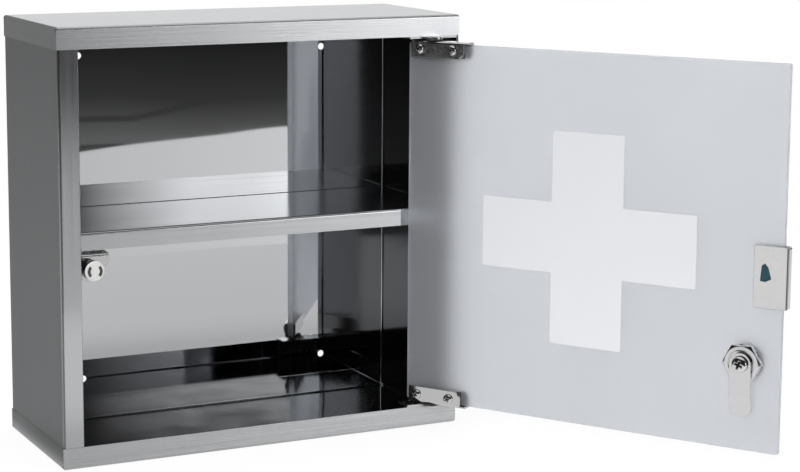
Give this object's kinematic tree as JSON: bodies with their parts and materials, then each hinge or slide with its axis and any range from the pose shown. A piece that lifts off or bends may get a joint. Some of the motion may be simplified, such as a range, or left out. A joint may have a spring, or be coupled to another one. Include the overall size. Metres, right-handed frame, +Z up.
{
  "type": "lockable medicine cabinet",
  "caption": "Square wall cabinet of folded stainless sheet with a shelf and a frosted glass door on pivot hinges, shut by a magnetic catch and a cam lock.",
  "frame": {"origin": "middle of the rear face, at the centre of the four wall holes", "axes": "+X to the right seen from the front, +Y from the front to the wall, +Z up"},
  "size_m": [0.425, 0.3521, 0.3],
  "materials": {
    "case_steel": "stainless sheet, brushed outside and bright inside",
    "cap_steel": "stainless sheet, brushed",
    "small_steel": "plain steel",
    "plated": "bright nickel plate",
    "frosted_glass": "satin frosted, with clear polished edges",
    "catch_plastic": "moulded, light grey",
    "black_plastic": "moulded, black",
    "magnet_iron": "dark, dull",
    "liner_rubber": "black, matt",
    "pad_rubber": "dark blue-green, matt",
    "lock_brass": "plain brass"
  },
  "bodies": {
    "cabinet": {"body_wrap": "case_steel", "top_cap": "cap_steel", "bottom_cap": "cap_steel", "shelf": "case_steel", "catch_bracket": "small_steel", "catch_body": "catch_plastic", "catch_poles": "magnet_iron", "catch_magnet": "magnet_iron", "catch_nut": "small_steel", "top_hinge_leaf": "small_steel", "bottom_hinge_leaf": "small_steel", "top_hinge_bush": "black_plastic", "bottom_hinge_bush": "black_plastic"},
    "door": {"door_glass": "frosted_glass", "top_hinge_pin": "small_steel", "bottom_hinge_pin": "small_steel", "top_hinge_clamp": "plated", "bottom_hinge_clamp": "plated", "top_pressure_plate": "small_steel", "bottom_pressure_plate": "small_steel", "top_clamp_liners": "liner_rubber", "bottom_clamp_liners": "liner_rubber", "top_clamp_screws": "plated", "bottom_clamp_screws": "plated", "strike_clip": "plated", "clip_pad": "pad_rubber", "lock_body": "plated", "lock_front_seal": "liner_rubber", "lock_rear_seal": "liner_rubber", "lock_tooth_washer": "small_steel", "lock_nut": "plated"},
    "lock_core": {"lock_plug": "lock_brass", "lock_wafers": "lock_brass", "lock_cam": "plated", "cam_washer": "small_steel", "cam_screw": "plated"}
  },
  "joints": [
    {"name": "door_swing", "type": "hinge", "parent": "cabinet", "child": "door", "pos_m": [0.128, -0.1236, 0], "axis": [0, 0, 1], "range_deg": [-122.5, 47.5]},
    {"name": "lock_turn", "type": "hinge", "parent": "door", "child": "lock_core", "pos_m": [0.25722, -0.32644, -0.07], "axis": [-0.8434, -0.5373, 0], "range_deg": [0, 90]}
  ]
}
